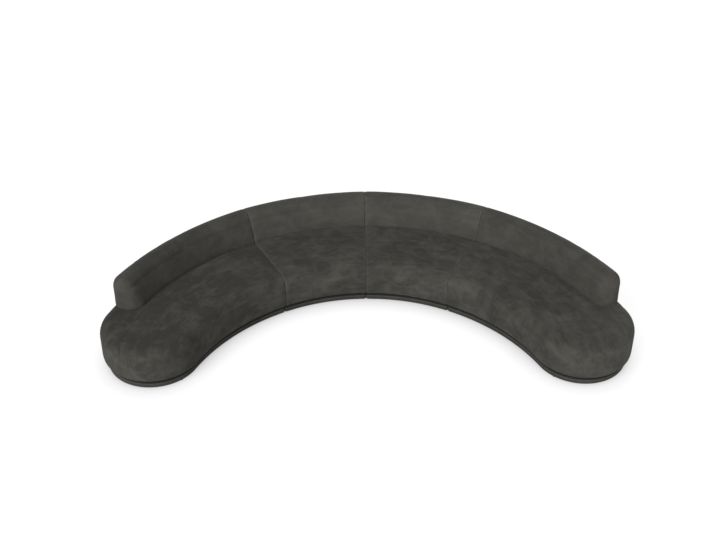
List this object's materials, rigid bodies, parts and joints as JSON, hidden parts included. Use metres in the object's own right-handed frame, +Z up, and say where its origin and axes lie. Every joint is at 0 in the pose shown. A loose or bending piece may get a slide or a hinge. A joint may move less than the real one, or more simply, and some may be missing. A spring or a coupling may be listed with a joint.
{
  "type": "modular sofa",
  "caption": "Curved modular sofa with upholstered seat and backrest modules, round backless end pads and a recessed plinth.",
  "frame": {"origin": "middle of the footprint's bounding box, on the floor", "axes": "+Z up, +X along the sofa to a seated person's left, -Y towards the front"},
  "size_m": [4.6722, 2.1622, 0.695],
  "materials": {
    "sofa_velvet": "dark olive-grey brushed velvet",
    "upholstery_foam": "open-cell foam",
    "frame_timber": "unfinished plywood",
    "plinth_timber": "unfinished plywood",
    "webbing_elastic": "woven elastic",
    "lining_cloth": "non-woven lining",
    "glide_plastic": "moulded",
    "fastener_steel": "zinc plated",
    "connector_steel": "black powder coat"
  },
  "bodies": {
    "left_end": {"left_end_plinth_cover": "sofa_velvet", "left_end_plinth_frame": "plinth_timber", "left_end_glides": "glide_plastic", "left_end_seat_frame": "frame_timber", "left_end_webbing": "webbing_elastic", "left_end_seat_foam": "upholstery_foam", "left_end_edge_padding": "upholstery_foam", "left_end_seat_cover": "sofa_velvet", "left_end_dust_cover": "lining_cloth", "left_end_back_frame": "frame_timber", "left_end_back_foam": "upholstery_foam", "left_end_back_cover": "sofa_velvet", "left_end_fasteners": "fastener_steel", "left_sockets": "connector_steel"},
    "left_middle": {"left_middle_plinth_cover": "sofa_velvet", "left_middle_plinth_frame": "plinth_timber", "left_middle_glides": "glide_plastic", "left_middle_seat_frame": "frame_timber", "left_middle_webbing": "webbing_elastic", "left_middle_seat_foam": "upholstery_foam", "left_middle_edge_padding": "upholstery_foam", "left_middle_seat_cover": "sofa_velvet", "left_middle_dust_cover": "lining_cloth", "left_middle_back_frame": "frame_timber", "left_middle_back_foam": "upholstery_foam", "left_middle_back_cover": "sofa_velvet", "left_middle_fasteners": "fastener_steel", "centre_tongues": "connector_steel", "left_tongues": "connector_steel"},
    "right_middle": {"right_middle_plinth_cover": "sofa_velvet", "right_middle_plinth_frame": "plinth_timber", "right_middle_glides": "glide_plastic", "right_middle_seat_frame": "frame_timber", "right_middle_webbing": "webbing_elastic", "right_middle_seat_foam": "upholstery_foam", "right_middle_edge_padding": "upholstery_foam", "right_middle_seat_cover": "sofa_velvet", "right_middle_dust_cover": "lining_cloth", "right_middle_back_frame": "frame_timber", "right_middle_back_foam": "upholstery_foam", "right_middle_back_cover": "sofa_velvet", "right_middle_fasteners": "fastener_steel", "centre_sockets": "connector_steel", "right_tongues": "connector_steel"},
    "right_end": {"right_end_plinth_cover": "sofa_velvet", "right_end_plinth_frame": "plinth_timber", "right_end_glides": "glide_plastic", "right_end_seat_frame": "frame_timber", "right_end_webbing": "webbing_elastic", "right_end_seat_foam": "upholstery_foam", "right_end_edge_padding": "upholstery_foam", "right_end_seat_cover": "sofa_velvet", "right_end_dust_cover": "lining_cloth", "right_end_back_frame": "frame_timber", "right_end_back_foam": "upholstery_foam", "right_end_back_cover": "sofa_velvet", "right_end_fasteners": "fastener_steel", "right_sockets": "connector_steel"}
  },
  "joints": [
    {"name": "right_middle_pull", "type": "slide", "parent": "left_middle", "child": "right_middle", "axis": [1, 0, 0], "range_m": [0, 0.3]},
    {"name": "left_end_pull", "type": "slide", "parent": "left_middle", "child": "left_end", "axis": [-0.8788, -0.4772, 0], "range_m": [0, 0.3]},
    {"name": "right_end_pull", "type": "slide", "parent": "right_middle", "child": "right_end", "axis": [0.8788, -0.4772, 0], "range_m": [0, 0.3]}
  ]
}
